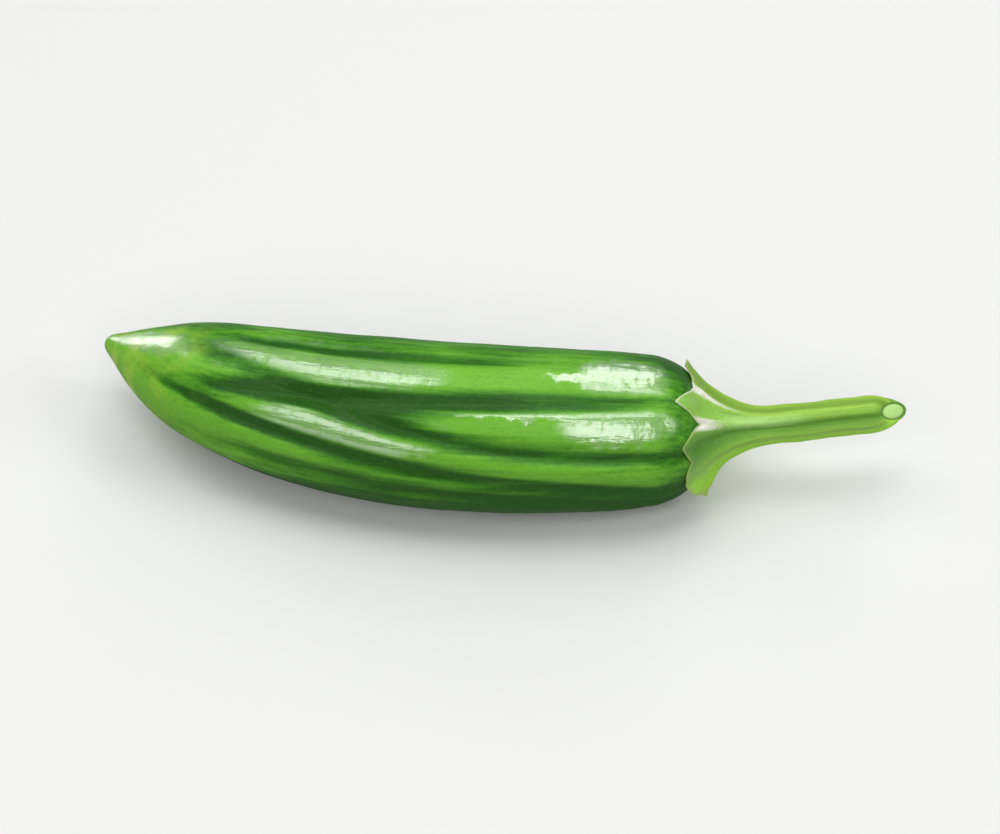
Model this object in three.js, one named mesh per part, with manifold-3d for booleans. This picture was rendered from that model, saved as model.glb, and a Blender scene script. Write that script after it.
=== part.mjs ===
// A shishito pepper as picked, lying on a table: the ridged green fruit, and the stem that grew
// with its toothed calyx. Millimetres, +Z up. The fruit's tip points to -X and the cut end of
// the stem to +X. The origin is on the table, under the middle of the whole pepper.

import * as THREE from 'three';
import { mergeVertices } from 'three/addons/utils/BufferGeometryUtils.js';
import Module from 'manifold-3d';

// ---- Driving dimensions ------------------------------------------------------------------------

// The line down the middle of fruit and stem, from the tip to the cut end.
const SPINE = [
  [-52.1, 5.1, 8.2], [-40.8, 0.7, 9.3], [-26.3, -1.9, 9.7], [-12.3, -2.4, 10.1],
  [1.7, -1.1, 10.3], [15.7, 1.9, 10.0], [25.7, 4.4, 9.8], [35.2, 6.3, 10.6],
  [43.7, 8.4, 11.7], [49.7, 10.0, 12.35], [53.1, 11.0, 13.0],
];

// The fruit's outline: distance along the spine, and radius there before the furrows.
const OUTLINE = [
  [0, 0], [0.5, 0.9], [3, 2.3], [7.5, 4.6], [14, 7.2], [24, 9.25], [38, 10.4], [53, 10.75],
  [64, 10.4], [71.5, 9.95], [76, 9.25], [79, 7.7], [80.9, 5.0], [81.5, 2.4], [81.7, 0],
];

// Angles go round the spine in degrees: 0 faces -Y, 90 up, 180 back and -90 down at the table.
// A furrow drifts round the fruit from its angle at the tip, past the middle one, to the one at
// the shoulder. from, to and fade are shares of BODY, depth is a share of the radius.
const BODY = 78;
const FURROWS = [
  { turn: [105, 86, 107], from: 0.16, to: 0.88, fade: 0.2, depth: 0.038, width: 6 },
  { turn: [115, 26, 52], from: 0.14, to: 0.74, fade: 0.1, depth: 0.033, width: 11 },
  { turn: [38, 68, 68], from: 0.1, to: 1.08, fade: 0.3, depth: 0.075, width: 7 },
  { turn: [124, 20, 26], from: 0.3, to: 1.35, fade: 0.2, depth: 0.055, width: 6.5 },
  { turn: [48, 19, -9], from: 0.06, to: 1.1, fade: 0.2, depth: 0.055, width: 7 },
  { turn: [2, 12, -26], from: 0.14, to: 1.3, fade: 0.25, depth: 0.035, width: 6 },
  { turn: [-30, -32, -52], from: 0.1, to: 1.3, fade: 0.25, depth: 0.05, width: 8 },
  { turn: [-83, -86, -93], from: 0.08, to: 1.3, fade: 0.25, depth: 0.07, width: 9 },
  { turn: [-138, -134, -136], from: 0.12, to: 1.3, fade: 0.25, depth: 0.06, width: 8 },
  { turn: [-178, -178, -176], from: 0.1, to: 1.3, fade: 0.25, depth: 0.07, width: 8 },
  { turn: [140, 140, 146], from: 0.1, to: 1.3, fade: 0.25, depth: 0.055, width: 8 },
];
const FURROW_END = 0.25;  // a furrow fades out over this share of BODY at the shoulder
const PLUMP = 0.014;      // the ridges swell by this share, so that the furrows keep the width

// The calyx hugs the shoulder. These are the corners of its toothed edge: the angle, how far
// along the spine, and the least distance out from the spine, which lifts two teeth off the fruit.
const CALYX_EDGE = [
  [-180, 77.9, 0], [-158, 80.1, 0], [-137, 77.6, 0], [-114, 80.2, 0], [-92, 78.0, 0],
  [-68, 80.8, 0], [-58, 81.5, 7.6], [-49, 81.6, 8.5], [-43, 81.0, 8.3], [-38, 80.6, 8.1],
  [-33, 80.4, 8.4], [-18, 79.2, 8.5], [-12, 78.7, 8.2], [2, 78.7, 7.6], [14, 79.4, 0],
  [31, 78.0, 0], [53, 80.7, 0], [64, 79.2, 0], [71, 77.1, 0], [79, 78.4, 0], [89, 79.6, 0],
  [99, 80.1, 0], [112, 80.0, 7.0], [128, 79.2, 8.0], [140, 79.5, 8.6], [151, 80.0, 6.6],
  [162, 80.6, 0], [180, 77.9, 0],
];
const THICKNESS = 0.5;    // of the calyx
const GAP = 0.3;          // free space between the calyx and the fruit under it
const FLARE = { knee: 82.2, waist: 4.5, throat: 84.0 };

// Ribs and grooves run from their angle on the calyx to their angle on the stem. share is of the
// stem's radius and height is in millimetres on the calyx, where they stand out most.
const RIBS = [[99, 77], [53, 54], [-4, 9], [-50, -45], [-110, -100], [-160, -150], [150, 125]];
const GROOVES = [[24, 38], [-76, -72], [186, 178]];
const RIB = { width: 14, share: 0.12, sunk: 0.05, height: 0.4 };
const GROOVE = { width: 12, share: 0.1, height: 0.3 };

const STEM = { radius: 2.3, start: 90, end: 105.5 };  // distances along the spine
const CUT = {
  radius: 1.15,           // of the cut face, inside its rounded rim
  slope: 1.45,            // how far the cut drops for each millimetre across it
  angle: 50,              // the side that the cut face looks to
  upper: 1.8,             // length over which the stem narrows to the cut, on this side
  lower: 5.2,             // and on the opposite side
};

const FRUIT_MESH = { around: 60, along: 42 };
const STEM_AROUND = 72;
const ROWS = { under: 4, flare: 16, stem: 14, cut: 2 };

// ---- The spine and places round it --------------------------------------------------------------

const radians = THREE.MathUtils.degToRad;
const { lerp, smoothstep, clamp } = THREE.MathUtils;
const UP = new THREE.Vector3(0, 0, 1);

function curveThrough(points) {
  const curve = new THREE.CatmullRomCurve3(points.map(([x, y, z = 0]) => new THREE.Vector3(x, y, z)));
  curve.arcLengthDivisions = 4000;
  return curve;
}

const spine = curveThrough(SPINE);
const outline = curveThrough(OUTLINE);
const spineLength = spine.getLength();

// The point at a distance along the spine, a radius and an angle round it. A distance past the
// end goes on straight ahead.
function place(distance, radius, angle) {
  const share = clamp(distance / spineLength, 0, 1);
  const tangent = spine.getTangentAt(share);
  const side = UP.clone().cross(tangent).normalize();
  const top = tangent.clone().cross(side);
  return spine.getPointAt(share)
    .addScaledVector(tangent, distance - share * spineLength)
    .addScaledVector(side, -Math.cos(angle) * radius)
    .addScaledVector(top, Math.sin(angle) * radius);
}

// How far an angle is from another one, in steps of a width in degrees.
function stepsApart(angle, middle, width) {
  return Math.abs(2 * Math.sin((angle - middle) / 2)) / radians(width);
}

// A skin closed round the spine: ring(v) gives, for v from 0 to 1, the distance and the radius
// at each angle. The first and the last ring shrink to a point.
function skin(around, along, ring) {
  const geometry = new THREE.SphereGeometry(1, around, along);
  geometry.deleteAttribute('normal');
  geometry.deleteAttribute('uv');
  const position = geometry.attributes.position;
  for (let row = 0; row <= along; row++) {
    for (let column = 0; column <= around; column++) {
      const angle = ((column % around) / around) * 2 * Math.PI;
      const [distance, radius] = ring(row / along, angle);
      const point = place(distance, radius, angle);
      position.setXYZ(row * (around + 1) + column, point.x, point.y, point.z);
    }
  }
  return mergeVertices(geometry, 1e-4);
}

// ---- The fruit ----------------------------------------------------------------------------------

function furrowDepth(furrow, share, angle) {
  const [tip, middle, shoulder] = furrow.turn.map(radians);
  const along = clamp(share, 0, 1.05);
  const drift = (1 - along) ** 2 * tip + 2 * along * (1 - along) * middle + along ** 2 * shoulder;
  const begins = smoothstep(share, furrow.from, furrow.from + furrow.fade);
  const ends = 1 - smoothstep(share, furrow.to - FURROW_END, furrow.to);
  const across = stepsApart(angle, drift, furrow.width);
  return furrow.depth * begins * ends * Math.exp(-across * across);
}

// The fruit's cross-section as a share of its radius: ridges, furrows and a slow unevenness.
function section(distance, angle) {
  const share = distance / BODY;
  const uneven = 0.012 * Math.sin(3 * angle + 0.06 * distance + 0.7)
    + 0.008 * Math.sin(2 * angle - 0.09 * distance + 2);
  return FURROWS.reduce((sum, furrow) => sum - furrowDepth(furrow, share, angle), 1 + PLUMP + uneven);
}

// Rows crowd together towards the tip and the shoulder, where the outline turns fastest.
function crowdEnds(v) {
  return 0.5 * v + 0.25 * (1 - Math.cos(Math.PI * v));
}

function fruitSkin({ around, along }, grow) {
  return skin(around, along, (v, angle) => {
    const { x: distance, y: radius } = outline.getPointAt(crowdEnds(v));
    const outwards = v < 0.5 ? -1 : 1;
    const pushed = distance + outwards * grow * Math.max(0, 1 - radius / 6);
    const isEnd = v === 0 || v === 1;
    return [pushed, isEnd ? 0 : radius * section(distance, angle) + grow];
  });
}

// The fruit's outer radius at a distance along the spine.
const outlinePoints = outline.getSpacedPoints(2000);
function fruitRadius(distance, angle) {
  const next = outlinePoints.findIndex((point) => point.x >= distance);
  if (next < 1) return 0;
  const [before, after] = [outlinePoints[next - 1], outlinePoints[next]];
  const share = (distance - before.x) / (after.x - before.x);
  return lerp(before.y, after.y, share) * section(distance, angle);
}

// ---- The stem with its calyx ----------------------------------------------------------------------

// The calyx's edge goes straight from corner to corner. angle is from 0 to 2 pi.
function calyxEdge(angle) {
  const degrees = THREE.MathUtils.radToDeg(angle);
  const turned = degrees > 180 ? degrees - 360 : degrees;
  const next = CALYX_EDGE.findIndex((corner) => corner[0] >= turned);
  const [before, after] = [CALYX_EDGE[Math.max(0, next - 1)], CALYX_EDGE[next]];
  const share = (turned - before[0]) / Math.max(after[0] - before[0], 1);
  const at = lerp(before[1], after[1], share);
  const out = lerp(before[2], after[2], share);
  return { at, radius: Math.max(fruitRadius(at, angle) + GAP, out) };
}

function bezier(a, b, c, d, t) {
  const rest = 1 - t;
  return rest ** 3 * a + 3 * rest ** 2 * t * b + 3 * rest * t ** 2 * c + t ** 3 * d;
}

// From 0 to 1: how near to one of the lines, which drift on their way from calyx to stem.
function nearLines(places, angle, stemwards, width) {
  return places.reduce((sum, [atCalyx, atStem]) => {
    const across = stepsApart(angle, radians(lerp(atCalyx, atStem, stemwards)), width);
    return sum + Math.exp(-across * across);
  }, 0);
}

function stemRadius(angle, stemwards) {
  const raised = RIB.share * nearLines(RIBS, angle, stemwards, RIB.width);
  const carved = GROOVE.share * nearLines(GROOVES, angle, stemwards, GROOVE.width);
  return STEM.radius * (1 - RIB.sunk + raised - carved);
}

// From inside the fruit out to the calyx's edge. The fruit is cut away from this stretch.
function underCalyx(t, angle) {
  const { at, radius } = calyxEdge(angle);
  return [bezier(STEM.start - 7, 81, 80.8, at + 0.1, t), bezier(0, 2.5, 4.4, radius, t)];
}

// From the calyx's edge up over the shoulder to the stem. It stays a calyx's thickness above the
// fruit, which this flare leaves only where the stem rises.
function flare(t, angle) {
  const { at, radius: edge } = calyxEdge(angle);
  const distance = bezier(at, Math.max(at + 0.8, FLARE.knee), FLARE.throat, STEM.start, t);
  const drift = smoothstep(t, 0.1, 0.95);
  const narrow = stemRadius(angle, drift);
  const trumpet = bezier(edge + THICKNESS, FLARE.waist, 1.15 * narrow, narrow, t);
  const above = fruitRadius(distance, angle);
  const radius = above > 0 ? Math.max(trumpet, above + GAP + THICKNESS) : trumpet;
  const relief = RIB.height * nearLines(RIBS, angle, drift, 9)
    - GROOVE.height * nearLines(GROOVES, angle, drift, 9);
  const raised = relief * smoothstep(t, 0.03, 0.2) * (1 - smoothstep(t, 0.6, 1));
  return [distance + 0.6 * raised, radius + 0.8 * raised];
}

// The cut face slopes: where it is along the spine, at a radius and an angle.
function cutAt(radius, angle) {
  return STEM.end - CUT.slope * radius * Math.cos(angle - radians(CUT.angle));
}

// Along the stem to the rim of its cut end, which the stem narrows to with a rounded edge. The
// rings crowd together towards it.
function stem(t, angle) {
  const rim = cutAt(CUT.radius, angle);
  const distance = lerp(STEM.start, rim, 1 - (1 - t) ** 1.6);
  const lower = (1 - Math.cos(angle - radians(CUT.angle))) / 2;
  const before = clamp((rim - distance) / lerp(CUT.upper, CUT.lower, lower), 0, 1);
  return [distance, lerp(CUT.radius, stemRadius(angle, 1), Math.sqrt(1 - (1 - before) ** 2))];
}

// Across the cut face to its middle.
function cutFace(t, angle) {
  const radius = CUT.radius * (1 - t);
  return [cutAt(radius, angle), radius];
}

function stemSkin() {
  const stretches = [[ROWS.under, underCalyx], [ROWS.flare, flare], [ROWS.stem, stem], [ROWS.cut, cutFace]];
  const along = stretches.reduce((sum, [rows]) => sum + rows, 0);
  return skin(STEM_AROUND, along, (v, angle) => {
    let row = Math.round(v * along);
    for (const [rows, stretch] of stretches) {
      if (row <= rows) return stretch(row / rows, angle);
      row -= rows;
    }
    return cutFace(1, angle);
  });
}

// ---- Cutting ------------------------------------------------------------------------------------

const wasm = await Module();
wasm.setup();

function solid(geometry) {
  return new wasm.Manifold(new wasm.Mesh({
    numProp: 3,
    vertProperties: new Float32Array(geometry.attributes.position.array),
    triVerts: new Uint32Array(geometry.index.array),
  }));
}

function geometryOf(manifold) {
  const { vertProperties, triVerts } = manifold.getMesh();
  const geometry = new THREE.BufferGeometry();
  geometry.setAttribute('position', new THREE.BufferAttribute(vertProperties, 3));
  geometry.setIndex(new THREE.BufferAttribute(triVerts, 1));
  return geometry;
}

// What lies below the table's top: the two lowest ridges are pressed flat where they rest on it.
function belowTable() {
  const box = new THREE.BoxGeometry(200, 100, 20).translate(0, 0, -10);
  box.deleteAttribute('normal');
  box.deleteAttribute('uv');
  return mergeVertices(box);
}

// ---- The pepper ---------------------------------------------------------------------------------

function piece(name, manifold, color, roughness) {
  const material = new THREE.MeshStandardMaterial({ color, roughness, metalness: 0 });
  const mesh = new THREE.Mesh(geometryOf(manifold), material);
  mesh.name = name;
  return mesh;
}

const fruit = solid(fruitSkin(FRUIT_MESH, 0)).subtract(solid(belowTable()));
const stemWithCalyx = solid(stemSkin()).subtract(solid(fruitSkin(FRUIT_MESH, GAP)));

const pepper = new THREE.Group();
pepper.add(piece('fruit', fruit, 0x3f7f2b, 0.3));
pepper.add(piece('stem_with_calyx', stemWithCalyx, 0x8fc255, 0.5));

export default pepper;
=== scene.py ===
# %% [markdown]
# # A shishito pepper on a table
#
# A shishito is a small sweet pepper, picked green. It is as long as a finger, ridged from end
# to end, glossy and thin-skinned. The plant made it in two parts that come off together: the
# fruit, and the stem, which spreads over the fruit's shoulder as a little collar with teeth,
# the calyx.
#
# The CAD model, the frame, already has both parts at their real size and place. This lesson
# gives them a finer surface and their finishes. A fruit like this could be sculpted, or pulled
# from a subdivided cylinder. It is made by rule instead, with Geometry Nodes: a line down its
# middle, an outline, and furrows that drift round it. Then each of its features is one line to
# read and change.

import math

import bpy
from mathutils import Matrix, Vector


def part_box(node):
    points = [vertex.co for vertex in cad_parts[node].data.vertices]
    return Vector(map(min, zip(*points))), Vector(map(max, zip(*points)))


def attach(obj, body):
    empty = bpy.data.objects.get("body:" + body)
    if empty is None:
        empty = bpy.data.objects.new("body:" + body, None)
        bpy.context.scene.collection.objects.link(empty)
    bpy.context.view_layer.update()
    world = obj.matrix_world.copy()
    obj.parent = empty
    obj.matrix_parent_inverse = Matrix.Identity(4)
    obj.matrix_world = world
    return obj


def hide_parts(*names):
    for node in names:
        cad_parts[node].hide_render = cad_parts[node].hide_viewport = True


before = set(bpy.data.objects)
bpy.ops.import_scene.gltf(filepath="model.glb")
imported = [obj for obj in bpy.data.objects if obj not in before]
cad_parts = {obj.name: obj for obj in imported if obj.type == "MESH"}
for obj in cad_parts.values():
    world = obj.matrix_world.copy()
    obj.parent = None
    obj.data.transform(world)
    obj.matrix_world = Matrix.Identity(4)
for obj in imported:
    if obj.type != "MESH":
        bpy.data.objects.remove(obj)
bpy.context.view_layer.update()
MM = 0.001  # metres; every length below is in millimetres unless it says otherwise

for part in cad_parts:
    low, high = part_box(part)
    print(part, "is", [round(side / MM, 1) for side in high - low], "mm")

# %% [markdown]
# ## The pepper's own lines
#
# Two lines carry the whole shape, in millimetres, and they are the CAD model's own lines. The
# spine runs down the middle of fruit and stem. The outline says how thick the fruit is at each
# distance along the spine. Everything else is placed by a distance, a radius and an angle round
# the spine: 0 degrees faces the viewer, 90 is up, 180 is the back and -90 is down at the table.

# %% Spine and outline
SPINE = [
    (-52.1, 5.1, 8.2), (-40.8, 0.7, 9.3), (-26.3, -1.9, 9.7), (-12.3, -2.4, 10.1),
    (1.7, -1.1, 10.3), (15.7, 1.9, 10.0), (25.7, 4.4, 9.8), (35.2, 6.3, 10.6),
    (43.7, 8.4, 11.7), (49.7, 10.0, 12.35), (53.1, 11.0, 13.0),
]
OUTLINE = [  # distance along the spine and radius
    (0, 0), (0.5, 0.9), (3, 2.3), (7.5, 4.6), (14, 7.2), (24, 9.25), (38, 10.4), (53, 10.75),
    (64, 10.4), (71.5, 9.95), (76, 9.25), (79, 7.7), (80.9, 5.0), (81.5, 2.4), (81.7, 0),
]
BODY = 78.0  # the fruit's length, of which the furrows take shares
CURVE_STEPS = 64  # straight steps between two knots of a line


def smooth_curve(name, points):
    """A curve object through points, with the same roundness as a centripetal spline has."""
    knots = [Vector((*point, 0)[:3]) for point in points]
    ends = [2 * knots[0] - knots[1], *knots, 2 * knots[-1] - knots[-2]]
    curve = bpy.data.curves.new(name, "CURVE")
    curve.dimensions = "3D"
    curve.resolution_u = CURVE_STEPS
    spline = curve.splines.new("BEZIER")
    spline.bezier_points.add(len(knots) - 1)
    for knot, before, here, after in zip(spline.bezier_points, ends, ends[1:], ends[2:]):
        arriving, leaving = (here - before).length ** 0.5, (after - here).length ** 0.5
        pace = (here - before) / arriving - (after - before) / (arriving + leaving)
        pace += (after - here) / leaving
        knot.handle_left_type = knot.handle_right_type = "FREE"
        knot.co = here
        knot.handle_left = here - pace * arriving / 3
        knot.handle_right = here + pace * leaving / 3
    line = bpy.data.objects.new(name, curve)
    bpy.context.scene.collection.objects.link(line)
    print(name, "is", round(spline.calc_length(), 1), "mm long")
    return line


spine_line = smooth_curve("spine", SPINE)
outline_line = smooth_curve("outline", OUTLINE)

# %% [markdown]
# ## Formulas as node trees
#
# A node tree is a formula drawn as boxes and wires. Long formulas take dozens of Math nodes,
# which are slow to place by hand. The small Wire class lets the script write them as ordinary
# sums: each sign adds the node that it stands for and plugs it in. It works in Geometry Nodes
# and in materials alike, because both use the same Math nodes.

# %% Wires that add up
class Wire:
    """A node's output that takes part in formulas. Every sign adds a Math node to its tree."""

    def __init__(self, tree, socket):
        self.tree = tree
        self.socket = socket

    def __add__(self, other):
        return maths(self.tree, "ADD", self, other)

    def __sub__(self, other):
        return maths(self.tree, "SUBTRACT", self, other)

    def __rsub__(self, other):
        return maths(self.tree, "SUBTRACT", other, self)

    def __mul__(self, other):
        return maths(self.tree, "MULTIPLY", self, other)

    def __truediv__(self, other):
        return maths(self.tree, "DIVIDE", self, other)

    def __pow__(self, other):
        return maths(self.tree, "POWER", self, other)

    def __neg__(self):
        return self * -1

    __radd__ = __add__
    __rmul__ = __mul__


def plug(tree, socket, value):
    """Feeds a socket with a wire, or sets it to a plain value."""
    if isinstance(value, Wire):
        tree.links.new(value.socket, socket)
    else:
        socket.default_value = value


def feed(tree, made, inputs):
    """Feeds several of a node's sockets, by name or place."""
    for name, value in inputs.items():
        plug(tree, made.inputs[name], value)


def node(tree, kind, inputs=None, **settings):
    """Adds a node, with its settings and what goes into its sockets."""
    made = tree.nodes.new(kind)
    for setting, value in settings.items():
        setattr(made, setting, value)
    feed(tree, made, inputs or {})
    return made


def maths(tree, operation, *terms):
    made = node(tree, "ShaderNodeMath", dict(enumerate(terms)), operation=operation)
    return Wire(tree, made.outputs[0])


# %% Functions of wires
def sin(wire):
    return maths(wire.tree, "SINE", wire)


def cos(wire):
    return maths(wire.tree, "COSINE", wire)


def larger(wire, other, blend=0.0):
    """The larger of the two, with the corner between them rounded over blend."""
    return maths(wire.tree, "SMOOTH_MAX", wire, other, blend)


def clamp(wire, low=0.0, high=1.0):
    made = node(wire.tree, "ShaderNodeClamp", {"Value": wire, "Min": low, "Max": high})
    return Wire(wire.tree, made.outputs[0])


def ramp(wire, low, high):
    """0 below low, 1 above high and an S-shaped climb between them."""
    sockets = {"Value": wire, "From Min": low, "From Max": high}
    made = node(wire.tree, "ShaderNodeMapRange", sockets, interpolation_type="SMOOTHSTEP")
    return Wire(wire.tree, made.outputs[0])


def lerp(start, end, share):
    return start + share * (end - start)


# %% Vectors and noise
def vectors(tree, operation, *terms):
    made = node(tree, "ShaderNodeVectorMath", dict(enumerate(terms)), operation=operation)
    return Wire(tree, made.outputs["Vector"])


def scaled(vector, factor):
    sockets = {0: vector, "Scale": factor}
    made = node(vector.tree, "ShaderNodeVectorMath", sockets, operation="SCALE")
    return Wire(vector.tree, made.outputs["Vector"])


def split(wire):
    made = node(wire.tree, "ShaderNodeSeparateXYZ", {0: wire})
    return [Wire(wire.tree, output) for output in made.outputs]


def join(tree, x, y, z):
    return Wire(tree, node(tree, "ShaderNodeCombineXYZ", {0: x, 1: y, 2: z}).outputs[0])


def noise(vector, detail=2.0, roughness=0.5):
    """Soft random values from -1 to 1 that follow a vector, whose unit is one grain."""
    sockets = {"Vector": vector, "Scale": 1.0, "Detail": detail, "Roughness": roughness}
    made = node(vector.tree, "ShaderNodeTexNoise", sockets)
    return Wire(vector.tree, made.outputs[0]) * 2 - 1


def stretched(straight, along, across):
    """A vector for noise whose grains are this long and this wide, in millimetres."""
    distance, side, up = split(straight)
    return join(straight.tree, distance / along, side / across, up / across)


# %% Trees with named inputs
KINDS = {
    float: "NodeSocketFloat", int: "NodeSocketInt", "object": "NodeSocketObject",
    "material": "NodeSocketMaterial", "vector": "NodeSocketVector",
    "geometry": "NodeSocketGeometry",
}


def new_tree(name, inputs, outputs):
    """An empty tree. Gives it, a dictionary of its input wires and its output node."""
    tree = bpy.data.node_groups.new(name, "GeometryNodeTree")
    for side, labels in (("INPUT", inputs), ("OUTPUT", outputs)):
        for label, kind in labels.items():
            tree.interface.new_socket(label, in_out=side, socket_type=KINDS[kind])
    entrance = tree.nodes.new("NodeGroupInput")
    wires = {label: Wire(tree, entrance.outputs[label]) for label in inputs}
    return tree, wires, tree.nodes.new("NodeGroupOutput")


def use(tree, group, **inputs):
    """Adds a group node to a tree and gives its output wires by name."""
    made = node(tree, "GeometryNodeGroup", inputs, node_tree=group)
    return {output.name: Wire(tree, output) for output in made.outputs}


def grow(name, tree, inputs):
    """Runs a tree once as a modifier, and keeps what it makes as a plain mesh object."""
    piece = bpy.data.objects.new(name, bpy.data.meshes.new(name))
    bpy.context.scene.collection.objects.link(piece)
    modifier = piece.modifiers.new(name, "NODES")
    modifier.node_group = tree
    for item in tree.interface.items_tree:
        if item.in_out == "INPUT":
            modifier[item.identifier] = inputs[item.name]
    depsgraph = bpy.context.evaluated_depsgraph_get()
    mesh = bpy.data.meshes.new_from_object(piece.evaluated_get(depsgraph))
    piece.modifiers.remove(modifier)
    piece.data = mesh
    mesh.name = name
    triangles = sum(len(face.vertices) - 2 for face in mesh.polygons)
    sides = [round(side / MM, 1) for side in piece.dimensions]
    print(name, "has", triangles, "triangles and is", sides, "mm")
    return piece


# %% [markdown]
# ## Places round the spine
#
# Both parts are skins wrapped round the spine. Each starts as a ball whose poles are the skin's
# two ends. The ball's rings become the rings round the spine, so a skin is closed at its poles
# and has no seam. A group node turns a distance, a radius and an angle into a place, and a
# small function reads the ring and the angle off the ball. Alternatives are a lofted NURBS
# surface, which is hard to furrow, or a screw modifier, which knows only circles.

# %% Group: place on the spine
def read_line(tree, line, mode, **where):
    """The node that reads a line at a length along it, or at a share of its length."""
    drawn = node(tree, "GeometryNodeObjectInfo", {"Object": line}).outputs["Geometry"]
    return node(tree, "GeometryNodeSampleCurve", {"Curves": Wire(tree, drawn), **where},
                mode=mode, use_all_curves=True)


def spine_group():
    """Distance, radius and angle round the spine, to a place and the spine's middle there."""
    inputs = {"Spine": "object", "Distance": float, "Radius": float, "Angle": float}
    outputs = {"Place": "vector", "Middle": "vector", "Outwards": "vector"}
    tree, given, result = new_tree("place_on_spine", inputs, outputs)
    here = read_line(tree, given["Spine"], "LENGTH", Length=given["Distance"])
    middle, tangent = (Wire(tree, here.outputs[label]) for label in ("Position", "Tangent"))
    sideways = vectors(tree, "NORMALIZE", vectors(tree, "CROSS_PRODUCT", (0, 0, 1), tangent))
    upwards = vectors(tree, "CROSS_PRODUCT", tangent, sideways)
    angle = given["Angle"]
    outwards = vectors(tree, "ADD", scaled(sideways, -cos(angle)), scaled(upwards, sin(angle)))
    place = vectors(tree, "ADD", middle, scaled(outwards, given["Radius"]))
    feed(tree, result, {"Place": place, "Middle": middle, "Outwards": outwards})
    return tree


SPINE_GROUP = spine_group()


def position(tree):
    """Where each point of the geometry is by now."""
    return Wire(tree, node(tree, "GeometryNodeInputPosition").outputs[0])


def ball(tree, rings, segments):
    """A ball to wrap, the share of the way from its top pole to its bottom one, and the angle."""
    made = node(tree, "GeometryNodeMeshUVSphere", {"Segments": segments, "Rings": rings})
    x, y, z = split(position(tree))
    share = maths(tree, "ARCCOSINE", clamp(z, -1.0, 1.0)) / math.pi
    return Wire(tree, made.outputs["Mesh"]), share, maths(tree, "ARCTAN2", x, -y)


# %% [markdown]
# ## Furrows
#
# This shishito has eleven furrows. They drift round the fruit on their way from the tip to the
# shoulder, because it twists a little as it grows, and some start later than others. Each is
# one copy of a Furrow group, which a loop places with that furrow's own numbers. Carving them
# by hand would look as good, but here one can be moved without touching the rest.

# %% Group: one furrow
FURROWS = [  # turn: degrees at tip, middle and shoulder; depth: share of the radius; the width
    # is in degrees too, and the start, end and fade are shares of BODY
    dict(turn=(105, 86, 107), start=0.16, end=0.88, fade=0.2, depth=0.038, width=6),
    dict(turn=(115, 26, 52), start=0.14, end=0.74, fade=0.1, depth=0.033, width=11),
    dict(turn=(38, 68, 68), start=0.1, end=1.08, fade=0.3, depth=0.075, width=7),
    dict(turn=(124, 20, 26), start=0.3, end=1.35, fade=0.2, depth=0.055, width=6.5),
    dict(turn=(48, 19, -9), start=0.06, end=1.1, fade=0.2, depth=0.055, width=7),
    dict(turn=(2, 12, -26), start=0.14, end=1.3, fade=0.25, depth=0.035, width=6),
    dict(turn=(-30, -32, -52), start=0.1, end=1.3, fade=0.25, depth=0.05, width=8),
    dict(turn=(-83, -86, -93), start=0.08, end=1.3, fade=0.25, depth=0.07, width=9),
    dict(turn=(-138, -134, -136), start=0.12, end=1.3, fade=0.25, depth=0.06, width=8),
    dict(turn=(-178, -178, -176), start=0.1, end=1.3, fade=0.25, depth=0.07, width=8),
    dict(turn=(140, 140, 146), start=0.1, end=1.3, fade=0.25, depth=0.055, width=8),
]
RUN_OUT = 0.25      # share of BODY over which a furrow runs out
DRIFT_STOPS = 1.05  # share of BODY past which a furrow keeps its angle
PLUMP = 0.014       # makes up for what the furrows take off the radius


def near(angle, middle, width):
    """1 at the middle and less the further off an angle is, with both in radians."""
    across = sin((angle - middle) / 2) * 2 / width
    return maths(angle.tree, "EXPONENT", -(across * across))


def furrow_group():
    labels = ("Share", "Angle", "Tip", "Midway", "Shoulder", "Start", "End", "Fade", "Width")
    tree, given, result = new_tree("furrow", dict.fromkeys(labels, float), {"Depth": float})
    along = clamp(given["Share"], 0.0, DRIFT_STOPS)
    back = 1 - along
    drift = back * back * given["Tip"] + along * back * given["Midway"] * 2
    drift = drift + along * along * given["Shoulder"]
    begins = ramp(given["Share"], given["Start"], given["Start"] + given["Fade"])
    ends = 1 - ramp(given["Share"], given["End"] - RUN_OUT, given["End"])
    depth = begins * ends * near(given["Angle"], drift, given["Width"])
    feed(tree, result, {"Depth": depth})
    return tree


FURROW_GROUP = furrow_group()


def all_furrows(share, angle):
    """How much the furrows take off the radius, as a share of it."""
    total = 0.0
    for furrow in FURROWS:
        tip, midway, shoulder = (math.radians(turn) for turn in furrow["turn"])
        one = use(
            share.tree, FURROW_GROUP, Share=share, Angle=angle, Tip=tip, Midway=midway,
            Shoulder=shoulder, Start=furrow["start"], End=furrow["end"], Fade=furrow["fade"],
            Width=math.radians(furrow["width"]),
        )
        total = total + one["Depth"] * furrow["depth"]
    return total


# %% [markdown]
# ## The fruit
#
# The fruit's tree is the CAD model's rule again, on a skin with nearly forty times as many
# faces, and with what a living thing adds to the rule: shallow dents as wide as a fingertip,
# faint folds that run along between the furrows, and fine wrinkles across, where the skin was
# gathered as the fruit grew. They are real geometry, so that the long reflections on the skin
# waver as they should. The lowest ridges are pressed flat where the fruit's weight rests on the
# table.
#
# The tree also stores what the skin's finish needs. "straight" is where each point would be if
# the spine were straight, which lets patterns run along the fruit and bend with it. "furrow" is
# how deep in a furrow the point lies.

# %% Endings that both trees share
def store(tree, geometry, kind, **values):
    """Keeps values on every point, under names that materials can read."""
    for label, value in values.items():
        sockets = {"Geometry": geometry, "Name": label, "Value": value}
        made = node(tree, "GeometryNodeStoreNamedAttribute", sockets, data_type=kind,
                    domain="POINT")
        geometry = Wire(tree, made.outputs["Geometry"])
    return geometry


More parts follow.
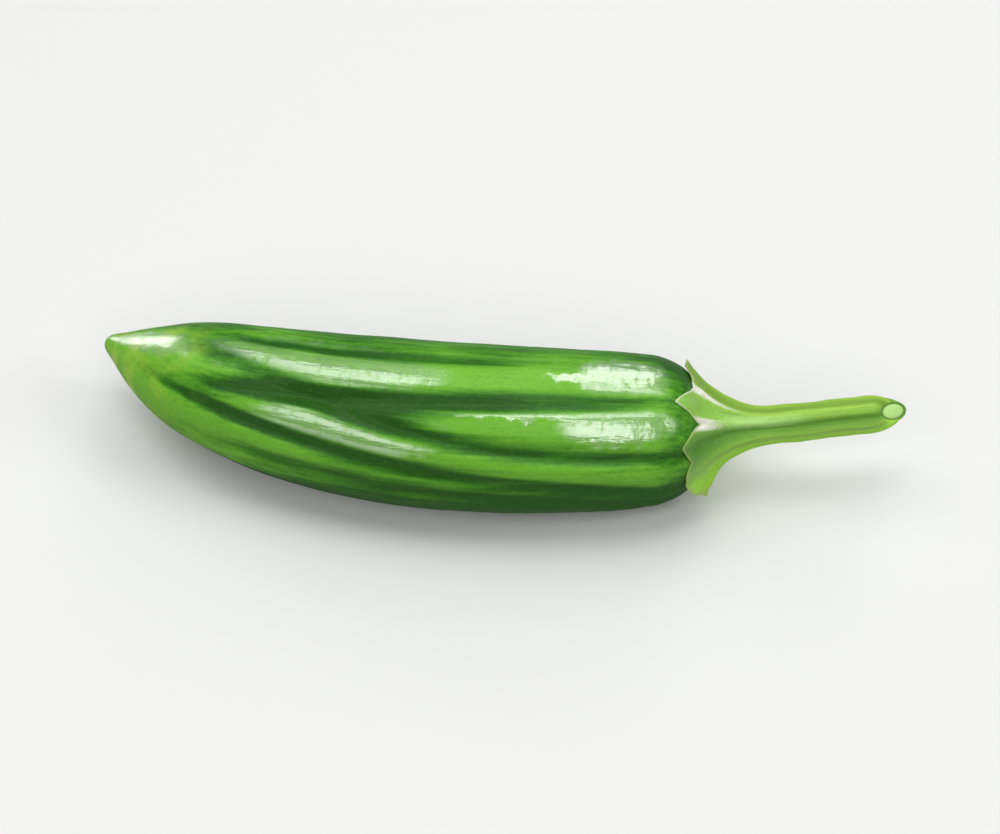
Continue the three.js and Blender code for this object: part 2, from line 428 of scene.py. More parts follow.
def move(tree, geometry, place):
    made = node(tree, "GeometryNodeSetPosition", {"Geometry": geometry, "Position": place})
    return Wire(tree, made.outputs["Geometry"])


def finish_tree(tree, geometry, material, result):
    """Smooth shading, real geometry and its material."""
    steps = (("SetShadeSmooth", {}), ("RealizeInstances", {}),
             ("SetMaterial", {"Material": material}))
    for kind, inputs in steps:
        made = node(tree, "GeometryNode" + kind, {"Geometry": geometry, **inputs})
        geometry = Wire(tree, made.outputs[0])
    feed(tree, result, {"Geometry": geometry})


# %% The fruit's tree
FRUIT_MESH = dict(rings=324, segments=292)
UNEVEN = [  # slow waves: how many round the fruit, turn per millimetre, start, share of radius
    (3, 0.06, 0.7, 0.012), (2, -0.09, 2.0, 0.008),
]
DENTS = dict(size=13.0, height=0.2)
FOLDS = dict(length=30.0, width=3.4, height=0.11)
WRINKLES = dict(length=1.5, width=5.0, height=0.055)
GATHERED = dict(few=0.3, begin=30.0, end=74.0)  # most wrinkles are near the shoulder
SMOOTH_ENDS = 4.0      # radius under which the tip and the shoulder lose their relief
FURROW_BOTTOM = 0.07   # the share of the radius that counts as the bottom of a furrow
PRESSED_EDGE = 0.05    # rounding at the edge of the flats on the table


def relief(given, distance, radius, straight):
    """Dents, folds and wrinkles, in millimetres outwards."""
    dents = noise(scaled(straight, 1 / DENTS["size"]), detail=1.0) * given["Dent height"]
    folds = noise(stretched(straight, FOLDS["length"], FOLDS["width"]), detail=1.5)
    wrinkles = noise(stretched(straight, WRINKLES["length"], WRINKLES["width"]))
    gathered = lerp(GATHERED["few"], 1, ramp(distance, GATHERED["begin"], GATHERED["end"]))
    wrinkles = wrinkles * given["Wrinkle height"] * gathered
    return (dents + folds * given["Fold height"] + wrinkles) * clamp(radius / SMOOTH_ENDS)


def straightened(tree, distance, radius, angle):
    """Where a point would be if the spine were straight."""
    return join(tree, distance, radius * cos(angle), radius * sin(angle))


def fruit_tree():
    inputs = {"Spine": "object", "Outline": "object", "Rings": int, "Segments": int,
              "Dent height": float, "Fold height": float, "Wrinkle height": float,
              "Material": "material"}
    tree, given, result = new_tree("fruit", inputs, {"Geometry": "geometry"})
    geometry, share, angle = ball(tree, given["Rings"], given["Segments"])
    crowded = share * 0.5 + (1 - cos(share * math.pi)) * 0.25  # more rings at both ends
    there = read_line(tree, given["Outline"], "FACTOR", Factor=crowded)
    distance, radius, _ = split(Wire(tree, there.outputs["Position"]))

    furrows = all_furrows(distance / BODY, angle)
    uneven = 0.0
    for waves, twist, start, height in UNEVEN:
        uneven = uneven + sin(angle * waves + distance * twist + start) * height
    straight = straightened(tree, distance, radius, angle)
    fine = radius * (uneven + (1 + PLUMP) - furrows) + relief(given, distance, radius, straight)

    geometry = store(tree, geometry, "FLOAT_VECTOR", straight=straight)
    geometry = store(tree, geometry, "FLOAT", furrow=furrows / FURROW_BOTTOM)
    wrapped = use(tree, SPINE_GROUP, Spine=given["Spine"], Distance=distance, Radius=fine,
                  Angle=angle)
    geometry = move(tree, geometry, wrapped["Place"])
    x, y, z = split(position(tree))
    pressed = join(tree, x, y, larger(z, 0.0, PRESSED_EDGE))
    geometry = move(tree, geometry, scaled(pressed, MM))
    finish_tree(tree, geometry, given["Material"], result)
    return tree


# %% [markdown]
# ## The stem and its calyx
#
# One skin again, because they grew as one. It starts inside the collar, lies on the shoulder of
# the fruit out to the edge with its teeth, turns round the thin lip, comes back up over the
# shoulder, narrows into the stem and ends on the slanting cut. Each of these is a stretch of
# rings with a formula of its own, joined end to end.
#
# The collar has to hug a shoulder that is full of dents and furrows. A Shrinkwrap modifier
# could press it on afterwards, but would flatten its teeth. Here a ray is sent out from the
# spine at each point instead. It says how far out the fruit's skin is there, and the collar is
# built on that.

# %% The stem's measures
CALYX_EDGE = [  # corners: degrees round the spine, then the distance along it and out from it
    (-180, 77.9, 0), (-158, 80.1, 0), (-137, 77.6, 0), (-114, 80.2, 0), (-92, 78.0, 0),
    (-68, 80.8, 0), (-58, 81.5, 7.6), (-49, 81.6, 8.5), (-43, 81.0, 8.3), (-38, 80.6, 8.1),
    (-33, 80.4, 8.4), (-18, 79.2, 8.5), (-12, 78.7, 8.2), (2, 78.7, 7.6), (14, 79.4, 0),
    (31, 78.0, 0), (53, 80.7, 0), (64, 79.2, 0), (71, 77.1, 0), (79, 78.4, 0), (89, 79.6, 0),
    (99, 80.1, 0), (112, 80.0, 7.0), (128, 79.2, 8.0), (140, 79.5, 8.6), (151, 80.0, 6.6),
    (162, 80.6, 0), (180, 77.9, 0),
]
RAGGED = dict(size=6, height=0.16)  # the small unevenness of that edge
LIP, COLLAR = 0.28, 0.6  # the calyx's thickness at its edge and further in
THICKENS = 2.2           # how far in from the edge it has its full thickness
CLEAR = 0.03             # between the calyx and the fruit's skin
SHOULDER = 81.2          # the fruit's end, where the calyx closes over it
INSIDE = dict(share=0.25, tuck=0.9)  # of the underside: the part that closes under the stem
FLARE = dict(lead=0.8, knee=82.2, waist=4.5, throat=84.0, neck=1.15)  # bends of its profile
FLARE_SHARES = dict(drift=(0.1, 0.95), ribs_rise=(0.03, 0.2), ribs_sink=(0.6, 1.0))
RIM = 0.9  # how far in from the edge its pale rim reaches
BLENDS = dict(edge=0.2, knee=0.4, collar=0.35)  # how far each corner is rounded over
STEM = dict(radius=2.3, start=90.0, end=105.5)
RIBS = [  # degrees round the spine at the calyx and on the stem
    (99, 77), (53, 54), (-4, 9), (-50, -45), (-110, -100), (-160, -150), (150, 125),
]
RIB = dict(width=14, share=0.12, sunk=0.05, height=0.4)  # shares of the stem's radius
GROOVES = [(24, 38), (-76, -72), (186, 178)]
GROOVE = dict(width=12, share=0.1, depth=0.3)
ON_FLARE = 9.0  # width in degrees of a rib or a groove on the flare
PAINTED = dict(rib=12.0, groove=24.0)  # and of its colour, which spreads wider
CUT = dict(radius=1.15, slope=1.45, angle=50, upper=1.8, lower=5.2)  # the last two: its taper
CUT_FACE = dict(ring=0.14, groove=0.1, dome=0.2)  # share of the way in, and heights
STEM_RINGS = dict(under=40, lip=8, flare=108, stem=100, cut=24)
STEM_SEGMENTS = 260


# %% Helpers for the stem's skin
RAY = 20  # how far out a ray looks for the fruit's skin
HAIR = 0.001  # of a ring: leaves a ring on the border of two stretches to the first of them


def fruit_radius(tree, given, distance, angle):
    """How far out from the spine a ray meets the fruit's skin, or 0 where it meets nothing."""
    here = use(tree, SPINE_GROUP, Spine=given["Spine"], Distance=distance, Radius=0.0,
               Angle=angle)
    target = node(tree, "GeometryNodeObjectInfo", {"Object": given["Fruit"]})
    ray = node(tree, "GeometryNodeRaycast", {
        "Target Geometry": Wire(tree, target.outputs["Geometry"]),
        "Source Position": scaled(here["Middle"], MM), "Ray Direction": here["Outwards"],
        "Ray Length": RAY * MM})
    return Wire(tree, ray.outputs["Hit Distance"]) / MM * Wire(tree, ray.outputs["Is Hit"])


def round_the_edge(angle, column):
    """A value that goes straight from corner to corner of the calyx's edge."""
    value = CALYX_EDGE[0][column]
    for before, after in zip(CALYX_EDGE, CALYX_EDGE[1:]):
        start, end = math.radians(before[0]), math.radians(after[0])
        value = value + clamp((angle - start) / (end - start)) * (after[column] - before[column])
    return value


def bezier(a, b, c, d, t):
    rest = 1 - t
    return rest * rest * rest * a + rest * rest * t * 3 * b + rest * t * t * 3 * c + t * t * t * d


def lines(angle, stemwards, places, width):
    """From 0 to 1: how near to a line that drifts round on its way from the calyx to the stem."""
    total = 0.0
    for at_calyx, at_stem in places:
        middle = lerp(math.radians(at_calyx), math.radians(at_stem), stemwards)
        total = total + near(angle, middle, math.radians(width))
    return total


def joined(row, parts):
    """Stretches end to end: each part has its number of rings and a formula of its own share."""
    start, values = 0, None
    for rings, formula in parts:
        fresh = formula(clamp((row - start) / rings))
        if values is None:
            values = fresh
        else:
            past = maths(row.tree, "GREATER_THAN", row, start + HAIR)
            values = [lerp(old, new, past) for old, new in zip(values, fresh)]
        start += rings
    return values


# %% Stretches of the stem's skin
def stem_stretches(tree, given, angle):
    """The formulas in order. Each gives distance, radius, and how far on the cut and edge."""
    ragged = noise(join(tree, cos(angle) * RAGGED["size"], sin(angle) * RAGGED["size"], 0.0),
                   detail=3.0) * RAGGED["height"]
    at = round_the_edge(angle, 1) + ragged
    to_side = cos(angle - math.radians(CUT["angle"]))  # 1 where the cut leaves the stem shortest

    def on_fruit(distance):
        return fruit_radius(tree, given, distance, angle) + CLEAR

    rim = larger(on_fruit(at), round_the_edge(angle, 2) + ragged, BLENDS["edge"])
    lift = rim - on_fruit(at)  # how far the edge stands off the fruit

    def under(t):
        inner = clamp(t / INSIDE["share"])
        outer = clamp((t - INSIDE["share"]) / (1 - INSIDE["share"]))
        distance = lerp(SHOULDER, at, outer)
        radius = on_fruit(distance) * inner + lift * outer * outer
        return [distance + (1 - inner) * INSIDE["tuck"], radius, 0.0, 0.0]

    def lip(t):
        turn = t * math.pi
        return [at - sin(turn) * LIP / 2, rim + (1 - cos(turn)) * LIP / 2, 0.0, 1.0]

    def stem_radius(stemwards):
        raised = lines(angle, stemwards, RIBS, RIB["width"]) * RIB["share"]
        carved = lines(angle, stemwards, GROOVES, GROOVE["width"]) * GROOVE["share"]
        return (raised - carved + (1 - RIB["sunk"])) * given["Stem radius"]

    def flare(t):
        knee = larger(at + FLARE["lead"], FLARE["knee"], BLENDS["knee"])
        distance = bezier(at, knee, FLARE["throat"], STEM["start"], t)
        drift = ramp(t, *FLARE_SHARES["drift"])
        narrow = stem_radius(drift)
        trumpet = bezier(rim + LIP, FLARE["waist"], narrow * FLARE["neck"], narrow, t)
        in_from_edge = distance - at
        thick = lerp(LIP, COLLAR, clamp(in_from_edge / THICKENS))
        radius = larger(trumpet, on_fruit(distance) + thick, BLENDS["collar"])
        raised = lines(angle, drift, RIBS, ON_FLARE) * RIB["height"]
        raised = raised - lines(angle, drift, GROOVES, ON_FLARE) * GROOVE["depth"]
        raised = raised * ramp(t, *FLARE_SHARES["ribs_rise"])
        raised = raised * (1 - ramp(t, *FLARE_SHARES["ribs_sink"]))
        near_edge = 1 - clamp(in_from_edge / RIM)
        return [distance + raised * 0.6, radius + raised * 0.8, 0.0, near_edge]

    def cut_at(radius):
        return STEM["end"] - radius * to_side * CUT["slope"]

    def stem(t):
        corner = cut_at(CUT["radius"])
        distance = lerp(STEM["start"], corner, 1 - (1 - t) ** 1.6)  # rings crowd at the cut
        rounding = lerp(CUT["upper"], CUT["lower"], (1 - to_side) / 2)
        before = clamp((corner - distance) / rounding)
        full = maths(tree, "SQRT", 1 - (1 - before) * (1 - before))
        return [distance, lerp(CUT["radius"], stem_radius(1.0), full), 0.0, 0.0]

    def cut_face(t):
        radius = (1 - t) * CUT["radius"]
        groove = ramp(t, 0.0, CUT_FACE["ring"]) * (1 - ramp(t, CUT_FACE["ring"], 0.4))
        dome = ramp(t, 0.12, 0.75) * CUT_FACE["dome"]
        return [cut_at(radius) - groove * CUT_FACE["groove"] + dome, radius, t, 0.0]

    return [under, lip, flare, stem, cut_face]


# %% The stem's tree
def stem_tree():
    inputs = {"Spine": "object", "Fruit": "object", "Segments": int, "Stem radius": float,
              "Material": "material"}
    tree, given, result = new_tree("stem_with_calyx", inputs, {"Geometry": "geometry"})
    total_rings = sum(STEM_RINGS.values())
    geometry, share, angle = ball(tree, total_rings, given["Segments"])
    parts = zip(STEM_RINGS.values(), stem_stretches(tree, given, angle))
    distance, radius, cut, edge = joined(share * total_rings, parts)

    straight = straightened(tree, distance, radius, angle)
    drift = ramp(distance, 81.0, STEM["start"])
    geometry = store(tree, geometry, "FLOAT_VECTOR", straight=straight)
    geometry = store(
        tree, geometry, "FLOAT", cut=cut, edge=edge,
        rib=lines(angle, drift, RIBS, PAINTED["rib"]),
        groove=lines(angle, drift, GROOVES, PAINTED["groove"]),
    )
    swelling = noise(scaled(straight, 0.2), detail=1.0) * 0.1 * ramp(distance, 82.0, 90.0)
    swelling = swelling * (1 - ramp(cut, 0.0, 0.01))
    wrapped = use(tree, SPINE_GROUP, Spine=given["Spine"], Distance=distance,
                  Radius=radius * (1 + swelling), Angle=angle)
    geometry = move(tree, geometry, scaled(wrapped["Place"], MM))
    finish_tree(tree, geometry, given["Material"], result)
    return tree


# %% [markdown]
# ## The skin's finish
#
# The skin of a green pepper is a deep green, lighter on the ridges and yellow-green at the tip,
# which ripens first. The light ridges and dark furrows are partly its own colour and partly
# painted light and shade. Long fibres show through it as streaks. Patches of wax lie over all
# that and give broad, slightly broken reflections, with a painted sheen beneath them. Painting
# this on an image would stretch at the tip and shoulder. The noises here read the straightened
# place of each point instead, so the streaks follow the fruit from end to end.

# %% Helpers for finishes
def new_material(name):
    material = bpy.data.materials.new(name)
    material.use_nodes = True
    tree = material.node_tree
    return material, tree, tree.nodes["Principled BSDF"]


def attribute(tree, name, output="Fac"):
    return Wire(tree, node(tree, "ShaderNodeAttribute", attribute_name=name).outputs[output])


def mix(share, start, end):
    """A colour between two colours, which are wires or plain (red, green, blue)."""
    made = node(share.tree, "ShaderNodeMix", data_type="RGBA")
    plug(share.tree, made.inputs["Factor"], share)
    for label, colour in (("A", start), ("B", end)):
        socket = next(s for s in made.inputs if s.name == label and s.type == "RGBA")
        plug(share.tree, socket, colour if isinstance(colour, Wire) else (*colour, 1.0))
    return Wire(share.tree, next(s for s in made.outputs if s.type == "RGBA"))


def layered(colour, layers):
    """Lays colours over the first one, in turn, each with its share."""
    for share, over in layers:
        colour = mix(share, colour, over)
    return colour


def grains(straight, table):
    """A noise for each row of a table: its length, width, detail and roughness."""
    return {
        name: noise(stretched(straight, along, across), detail, roughness)
        for name, (along, across, detail, roughness) in table.items()
    }


def bumps(tree, reliefs):
    """Relief in the shading, from pairs of a pattern and its height in millimetres."""
    normal = None
    for pattern, height in reliefs:
        sockets = {"Height": pattern, "Distance": height * MM, "Strength": 1.0}
        if normal:
            sockets["Normal"] = normal
        normal = Wire(tree, node(tree, "ShaderNodeBump", sockets).outputs[0])
    return {"Normal": normal, "Coat Normal": normal}


def glow(depth):
    """The light that a green skin lets in, scatters and gives back, down to a depth."""
    return {"Subsurface Weight": 0.1, "Subsurface Radius": (0.6, 1.0, 0.2),
            "Subsurface Scale": depth * MM}


# %% Angles for finishes
LAMP_SIDE = 40  # degrees round the spine that face the lamps, for painted light and shade


def degrees_round(straight):
    """The angle round the spine in degrees, from -180 to 180."""
    _, across, up = split(straight)
    return maths(straight.tree, "DEGREES", maths(straight.tree, "ARCTAN2", up, across))


def towards(straight, degrees):
    """1 on the side of the pepper that faces this way round the spine, -1 on the other side."""
    return cos((degrees_round(straight) - degrees) * math.radians(1))


# %% [markdown]
# ## The fruit's skin and its wax
#
# Several things set the green. Painted light and shade make it lighter on the side towards the
# lamps and darker underneath, by the calyx and deep in the furrows, whose dark is partly the
# skin's own colour too. The tip is yellower, and random streaks and patches vary it. Each gives
# a share, and the sum picks a green between furrow, flesh and ridge. The wax is thick only in
# patches, where nobody's fingers have rubbed it, so the coat is a mask of soft ovals with ragged
# ends and worn spots, and under it the green is painted paler as a painted sheen. A coat all
# over would be simpler, but the furrows would turn grey with reflections. Folds too fine for the
# mesh, near the calyx, are relief in the shading.

# %% Patches of wax
WAX = [  # millimetres along the spine and how far either way; degrees round it, likewise
    (8, 8, 80, 22), (32, 18, 84, 22), (38, 13, 38, 18), (57, 9, 59, 4.5), (70, 8, 50, 17),
    (71, 6, 89, 24), (66, 5, 86, 5),
]
WAX_FADE = (0.4, 1.15)  # a patch thins between these, which are squares of shares of its reach


def wax_patches(distance, turned):
    """1 where the coat of wax is thick, fading to 0 where it has been rubbed thin."""
    total = 0.0
    for middle, reach, facing, spread in WAX:
        along, across = (distance - middle) / reach, (turned - facing) / spread
        total = total + (1 - ramp(along * along + across * across, *WAX_FADE))
    return clamp(total)


print(len(WAX), "patches of wax, over", len(FURROWS), "furrows")

# %% Fruit skin
# furrow and ridge hold painted shade and light as well as own tones; wax: a painted sheen
GREENS = dict(
    furrow=(0.023, 0.110, 0.011), flesh=(0.055, 0.240, 0.016), ridge=(0.200, 0.540, 0.044),
    tip=(0.520, 0.740, 0.090), wax=(0.700, 0.880, 0.600),
)
SKIN_GRAINS = dict(  # length, width, detail and roughness
    streaks=(18.0, 0.7, 4.0, 0.6), patches=(14.0, 5.0, 2.0, 0.5), mottle=(0.7, 0.45, 3.0, 0.7),
    fingers=(1.4, 5.0, 2.0, 0.5), worn=(0.8, 1.1, 2.0, 0.5), fibres=(7.0, 0.6, 2.0, 0.5),
    folds=(1.6, 2.6, 1.0, 0.5), pits=(0.36, 0.42, 2.0, 0.5),
)
ALONG = dict(  # distances along the spine between which each of these comes or goes
    tip=(4.0, 24.0), fibres=(8.0, 26.0), shade=(18.0, 42.0), pale_furrows=(25.0, 75.0),
    folds=(54.0, 68.0), calyx_shade=(73.0, 78.0),
)
UNDERSIDE = (-20.0, 12.0)  # degrees between which the shade of the underside ends
REAR = -132                # degrees: the middle of the side that is glossy all over


def skin_green(straight, furrow, grain):
    """The green from place, furrows and painted light and shade, before the wax."""
    distance, turned = split(straight)[0], degrees_round(straight)
    streaks, patches, mottle = (grain[name] for name in ("streaks", "patches", "mottle"))
    # painted light: lighter on the side towards the lamps
    lit_side = ramp(towards(straight, LAMP_SIDE) + patches * 0.1, 0.12, 0.85)
    # painted shade: darker on the shoulder by the calyx
    calyx_shade = ramp(distance + patches, *ALONG["calyx_shade"])
    in_shade = (1 - ramp(turned, *UNDERSIDE)) * ramp(distance, *ALONG["shade"]) * 0.8
    furrows_fade = 1 - ramp(distance, *ALONG["pale_furrows"]) * 0.35 - calyx_shade * 0.4
    # the furrows' dark: partly the skin's own colour, partly painted shade
    deep = ramp(furrow, 0.0, 0.9) * 0.7 + furrow * 0.7
    high = clamp(0.32 + lit_side * 0.73 - deep * furrows_fade - calyx_shade * 0.55 + streaks * 0.6
                 + patches * 0.4 - in_shade)
    to_tip = 1 - ramp(distance + streaks * 4, *ALONG["tip"])
    ripe = ramp(noise(scaled(straight, 0.28), detail=3.0) + to_tip * 0.3, 0.0, 0.7)
    return layered(GREENS["furrow"], [
        (ramp(high, 0.0, 0.5), GREENS["flesh"]),
        (ramp(high, 0.3, 1.05), GREENS["ridge"]),
        # the tip's own yellow, stronger on the lit side as painted light
        (to_tip * ripe * (lit_side * 0.35 + 0.5), GREENS["tip"]),
        (clamp(mottle) * (high * 0.5 + 0.2), GREENS["ridge"]),
        (clamp(-mottle) * 0.6, GREENS["furrow"]),
    ])


def pepper_skin():
    material, tree, skin = new_material("pepper_skin")
    straight, furrow = attribute(tree, "straight", "Vector"), attribute(tree, "furrow")
    distance = split(straight)[0]
    grain = grains(straight, SKIN_GRAINS)
    patches = grain["patches"]

    ragged = grain["streaks"] * 4 + grain["fingers"] * 9  # degrees
    wax = wax_patches(distance + patches * 2, degrees_round(straight) + ragged)
    wax = wax * (1 - ramp(grain["worn"], 0.05, 0.45) * 0.55)
    on_ridge = 1 - ramp(furrow, 0.05, 0.45)
    calyx_shade = ramp(distance + patches, *ALONG["calyx_shade"])
    behind = ramp(towards(straight, REAR), 0.0, 0.5) * 0.3
    # painted sheen: the green is painted paler where the wax's highlights fall
    painted_sheen = wax * (1 - ramp(furrow, 0.0, 0.5)) * 0.14
    gathered = ramp(distance + patches * 4, *ALONG["folds"])
    feed(tree, skin, {
        "Base Color": mix(painted_sheen, skin_green(straight, furrow, grain), GREENS["wax"]),
        "Roughness": clamp(0.5 + grain["mottle"] * 0.12 + furrow * 0.1),
        "Specular IOR Level": 0.06,
        "Coat Weight": clamp(wax * on_ridge * (1 - calyx_shade) * 0.95 + behind + 0.03),
        "Coat IOR": 3.0,
        "Coat Roughness": 0.2,
        **glow(1.2),
        **bumps(tree, [
            (grain["fibres"] * ramp(distance, *ALONG["fibres"]), 0.035),
            (grain["folds"] * gathered, 0.08),
            (grain["pits"], 0.012),
        ]),
    })
    return material


# %% [markdown]
# ## The stem's finish
#
# The stem is a yellower green than the fruit, and duller, because its skin is fibrous. Its ribs
# are paler, its calyx brighter on the lit side and its grooves darker, partly in their own
# colour and partly as painted light and shade. The white where the ribs run out over the calyx,
# on the calyx's edge where it faces up and in a pale streak at the stem's root are painted
# highlights. The top is painted darker as shade and the underside lighter, as painted light.
# The cut end shows the plant inside: a thin dark ring of cortex round a pale pith, with a
# brownish scar where it dried. The tree stored how near each point is to a rib, a groove, the
# calyx's edge and the cut, so the finish follows the shape. Painting each rib by hand is the
# other way, and it would not move along when the shape changes.

# %% Stem skin
STEM_GREENS = dict(
    # the side away from the lamps is painted lighter; grooves are partly painted shade
    lit_side=(0.280, 0.570, 0.080), shaded=(0.460, 0.900, 0.080), groove=(0.085, 0.290, 0.022),
    # top green: painted shade, also used for speckles; ribs, calyx: own colour and painted light
    upper=(0.190, 0.350, 0.042), rib=(0.420, 0.710, 0.090), calyx=(0.290, 0.640, 0.090),
    # the white and the pale root green are painted highlights; the edge green is the calyx's own
    root=(0.620, 0.960, 0.360), crest_glint=(1.000, 1.000, 0.860), edge=(0.480, 0.560, 0.180),
    cortex=(0.140, 0.300, 0.050), pith=(0.580, 0.900, 0.290), scar=(0.420, 0.520, 0.180),
)
STEM_GRAINS = dict(
    fibres=(7.0, 0.25, 3.0, 0.6), patches=(5.0, 1.6, 2.0, 0.5), speckle=(0.9, 0.3, 2.0, 0.6),
    grain=(0.6, 0.15, 2.0, 0.5),
)
ON_STEM = dict(  # distances along the spine between which each of these comes or goes
    calyx=(82.0, 87.0), root=(82.5, 86.0), root_ends=(89.0, 97.0),
)
SIDES = dict(  # and degrees round it
    top=(64, 92), top_ends=(140, 170), ribs=(-30, 20), grooves=(-60, -20), crest_glint=(25, 45),
    crest_ends=(112, 130), crest_longer=(60, 90),
)


def cut_colour(straight, cut):
    """Cortex, pith and scar on the cut end."""
    dried = ramp(noise(scaled(straight, 2.5), detail=3.0), 0.1, 0.6) * 0.3
    return layered(STEM_GREENS["cortex"], [
        (ramp(cut, CUT_FACE["ring"], 0.3), STEM_GREENS["pith"]),
        (dried, STEM_GREENS["scar"]),
    ])


def stem_skin():
    material, tree, skin = new_material("stem_skin")
    straight = attribute(tree, "straight", "Vector")
    cut, edge, rib, groove = (attribute(tree, name) for name in ("cut", "edge", "rib", "groove"))
    distance, turned = split(straight)[0], degrees_round(straight)
    side = {name: ramp(turned, *limits) for name, limits in SIDES.items()}
    grain = grains(straight, STEM_GRAINS)
    fibres, patches = grain["fibres"], grain["patches"]

    # painted light and shade: the side away from the lamps is painted lighter, the top darker
    lit_side = towards(straight, LAMP_SIDE) + patches * 0.3
    shaded_top = side["top"] * (1 - side["top_ends"])
    on_calyx = 1 - ramp(distance + patches, *ON_STEM["calyx"])
    # ribs paler, grooves darker: partly their own colour, partly painted light and shade
    ribs = clamp(rib * 0.8 + fibres * 0.4) * side["ribs"]
    carved = groove * (side["grooves"] * (on_calyx * 0.2 + 0.4) + 0.35)
    # painted highlight: white on the ribs where they run out over the calyx
    near_fruit = 1 - ramp(distance + fibres * 1.5, 81.5, side["crest_longer"] * 3 + 84.5)
    crest_glint = ramp(rib + fibres * 0.2, 0.5, 0.85) * near_fruit * side["crest_glint"]
    crest_glint = crest_glint * (1 - side["crest_ends"])
    # painted highlight: a pale green streak on the stem's root, on the side facing the lamps
    root = 1 - ramp(distance + fibres * 2, *ON_STEM["root_ends"])
    root = ramp(distance + fibres, *ON_STEM["root"]) * root
    root = root * ramp(towards(straight, 58), 0.93, 0.99)
    # the calyx's own pale edge, painted white as a highlight where it faces up
    rim = mix(ramp(towards(straight, 88), 0.88, 0.97), STEM_GREENS["edge"], STEM_GREENS["crest_glint"])
    colour = layered(STEM_GREENS["shaded"], [
        (ramp(lit_side, 0.45, 0.9), STEM_GREENS["lit_side"]),
        (shaded_top * 0.9, STEM_GREENS["upper"]),
        (on_calyx * ramp(lit_side, 0.3, 0.9), STEM_GREENS["calyx"]),
        (ribs, STEM_GREENS["rib"]),
        (clamp(carved - fibres * 0.2), STEM_GREENS["groove"]),
        (crest_glint * 0.95, STEM_GREENS["crest_glint"]),
        (root * 0.45, STEM_GREENS["root"]),
        (ramp(edge + fibres * 0.2, 0.5, 1.0) * 0.6, rim),
        (clamp(grain["speckle"]) * 0.5, STEM_GREENS["upper"]),
        (ramp(cut, 0.0, 0.03), cut_colour(straight, cut)),
    ])
    glossy = clamp(on_calyx * 0.25 + crest_glint * 0.7 + 0.1)
    feed(tree, skin, {
        "Base Color": colour,
        "Roughness": clamp(0.5 + fibres * 0.08),
        "Specular IOR Level": 0.15,
        "Coat Weight": glossy * ramp(lit_side, 0.2, 0.8),
        "Coat IOR": 1.7,
        "Coat Roughness": 0.22,
        **glow(1.0),
        **bumps(tree, [(fibres, 0.06), (grain["grain"], 0.02)]),
    })
    return material


# %% [markdown]
# ## Growing both parts
#
# Each tree runs once as a modifier, and what it makes is kept as a plain mesh with its finish
# and its attributes. The fruit comes first, because the calyx feels for the fruit's surface and
# lies down on it. The two lines of the spine and the outline have done their work then, and go.

# %% Grow both parts
fruit = grow("pepper_fruit", fruit_tree(), {
    "Spine": spine_line, "Outline": outline_line, "Rings": FRUIT_MESH["rings"],
    "Segments": FRUIT_MESH["segments"], "Dent height": DENTS["height"],
    "Fold height": FOLDS["height"], "Wrinkle height": WRINKLES["height"],
    "Material": pepper_skin(),
})
stem = grow("pepper_stem", stem_tree(), {
    "Spine": spine_line, "Fruit": fruit, "Segments": STEM_SEGMENTS,
    "Stem radius": STEM["radius"], "Material": stem_skin(),
})
for line in (spine_line, outline_line):
    bpy.data.objects.remove(line)

# %% [markdown]
# ## The table
#
# The pepper lies on a pale table, which also catches its shadow. A table this white would throw
# its light back up and wash out the fruit's dark underside. So its finish is pale only for the
# camera and for reflections, and mid grey for the light that bounces off it. A darker table
# would do the same, but would look dark too.

# %% Table
TABLE_SIZE = 4.0  # metres
TABLE_GREY, TABLE_PALE = (0.42, 0.42, 0.40), (0.88, 0.88, 0.87)


def table():
    bpy.ops.mesh.primitive_plane_add(size=TABLE_SIZE)
    top = bpy.context.object
    top.name = "table_top"
    material, tree, surface = new_material("pale_table")
    rays = tree.nodes.new("ShaderNodeLightPath").outputs
    seen = (Wire(tree, rays[f"Is {kind} Ray"]) for kind in ("Camera", "Glossy", "Transmission"))
    shown = mix(clamp(sum(seen)), TABLE_GREY, TABLE_PALE)
    feed(tree, surface, {"Base Color": shown, "Roughness": 0.7})
    top.data.materials.append(material)
    return top


floor = table()
print("The table is", round(floor.dimensions.x, 1), "m wide")

# %% [markdown]
# ## The camera
#
# The pepper is seen from above, on the outer side of its bend and a little from the stem. A
# long lens from half a metre keeps it from looking bent by perspective. The camera looks at the
# middle of the pepper as seen from there, so it stays in the frame when a measure changes.

# %% Camera
AZIMUTH, ELEVATION = math.radians(12), math.radians(48)
DISTANCE, LENS = 0.454, 128.0  # metres and, for the lens, millimetres


def camera():
    data = bpy.data.cameras.new("camera")
    data.lens = LENS
    made = bpy.data.objects.new("camera", data)
    bpy.context.scene.collection.objects.link(made)
    bpy.context.scene.camera = made
    level = math.cos(ELEVATION)
    back = Vector((math.sin(AZIMUTH) * level, -math.cos(AZIMUTH) * level, math.sin(ELEVATION)))
    right = Vector((math.cos(AZIMUTH), math.sin(AZIMUTH), 0.0))
    corners = [vertex.co for piece in (fruit, stem) for vertex in piece.data.vertices]
    middle = Vector((0.0, 0.0, 0.01))
    for axis in (right, back.cross(right)):
        reach = [corner.dot(axis) for corner in corners]
        middle += axis * ((min(reach) + max(reach)) / 2 - middle.dot(axis))
    made.location = middle + back * DISTANCE
    made.rotation_euler = back.to_track_quat("Z", "Y").to_euler()
    return made


looker = camera()
print("The camera stands at", [round(side, 3) for side in looker.location], "m")

# %% [markdown]
# ## The lamps
#
# A waxy skin shows its lamps, so each highlight is the reflection of a soft square lamp. The
# left and front left ones make the two long highlights, and the tip one the glint at the tip.
# The front right one and the one at the back make the patches by the calyx, and the back one
# also the thin line on the middle ridge. The key lamp and the right one light the skin itself.
# On a card that faces up, their levels and the room's add up to about 1.2, so the greens show a
# little lighter than they are written. A sky picture would light the pepper too, but its
# highlights could not be put where they belong.

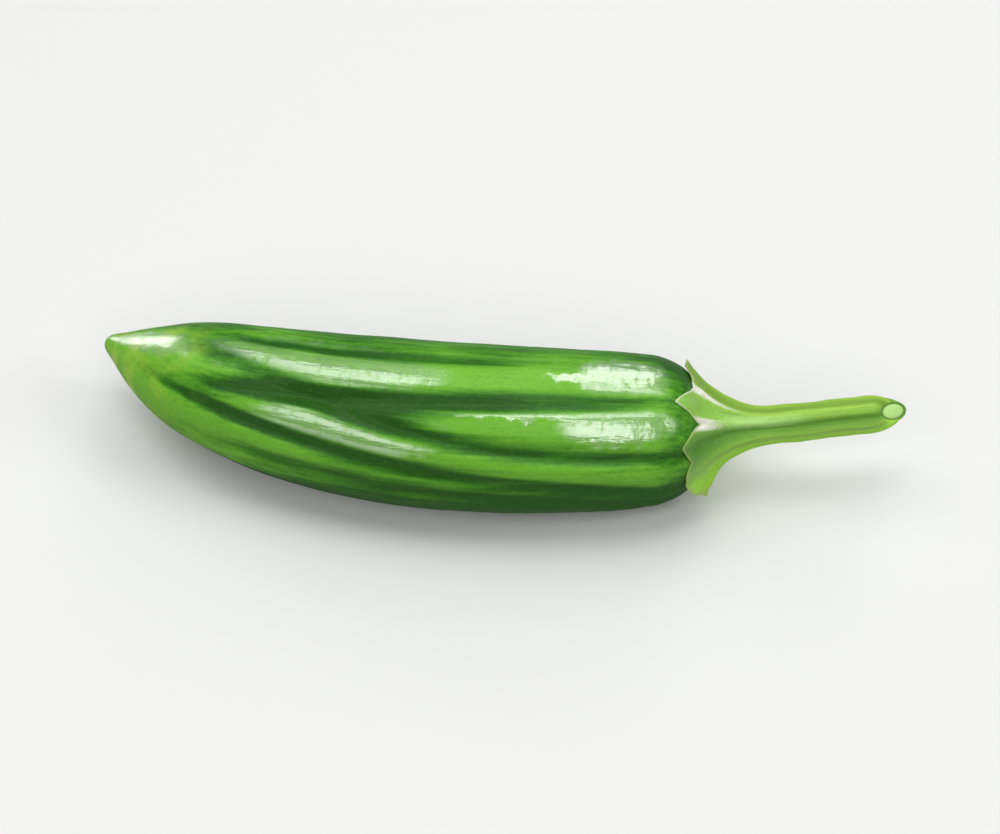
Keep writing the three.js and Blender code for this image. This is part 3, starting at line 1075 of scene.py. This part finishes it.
# %% Lamps
LAMPS = {  # name: direction, distance, width and height, level; in metres
    "key": ((0.26, 0.14, 0.93), 0.6, (0.22, 0.64), 0.22),
    "left": ((-0.40, 0.08, 0.91), 0.7, (0.42, 0.72), 0.34),
    "front left": ((-0.30, -0.72, 0.62), 0.7, (0.60, 0.36), 0.22),
    "front right": ((0.31, -0.60, 0.74), 0.7, (0.32, 0.40), 0.20),
    "right": ((0.80, 0.0, 0.60), 0.7, (0.24, 0.24), 0.18),
    "back": ((0.05, 0.70, 0.71), 0.7, (0.24, 0.60), 0.24),
    "tip": ((-0.78, 0.6, 0.2), 0.7, (0.18, 0.30), 0.12),
}
ROOM_COLOUR, ROOM_LEVEL = (0.95, 1.0, 0.97, 1.0), 0.08


def softbox(name, direction, distance, size, level):
    """A square lamp aimed at the pepper. A white card facing it would show at this level."""
    data = bpy.data.lights.new(name, "AREA")
    data.shape = "RECTANGLE"
    data.size, data.size_y = size
    data.energy = level * (math.pi * distance) ** 2
    lamp = bpy.data.objects.new(name, data)
    bpy.context.scene.collection.objects.link(lamp)
    way = Vector(direction).normalized()
    lamp.location = way * distance
    lamp.rotation_euler = way.to_track_quat("Z", "Y").to_euler()
    return lamp


lamps = [softbox(name, *measures) for name, measures in LAMPS.items()]
print(len(lamps), "lamps,", round(sum(lamp.data.energy for lamp in lamps), 2), "watts in all")

# %% Room
world = bpy.data.worlds.new("room")
bpy.context.scene.world = world
world.use_nodes = True
feed(world.node_tree, world.node_tree.nodes["Background"],
     {"Color": ROOM_COLOUR, "Strength": ROOM_LEVEL})
bpy.context.scene.view_settings.view_transform = "Standard"
print("The room's own light is at", ROOM_LEVEL)

# %% [markdown]
# ## Handing over
#
# Each piece rides on the frame's body and stands in for one part of the CAD model, which is
# hidden.

# %% Hand over
STANDS_FOR = ((fruit, "fruit", "fruit_skin"), (stem, "stem_with_calyx", "stem_green"))
for piece, cad_node, slot in STANDS_FOR:
    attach(piece, "root")
    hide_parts(cad_node)
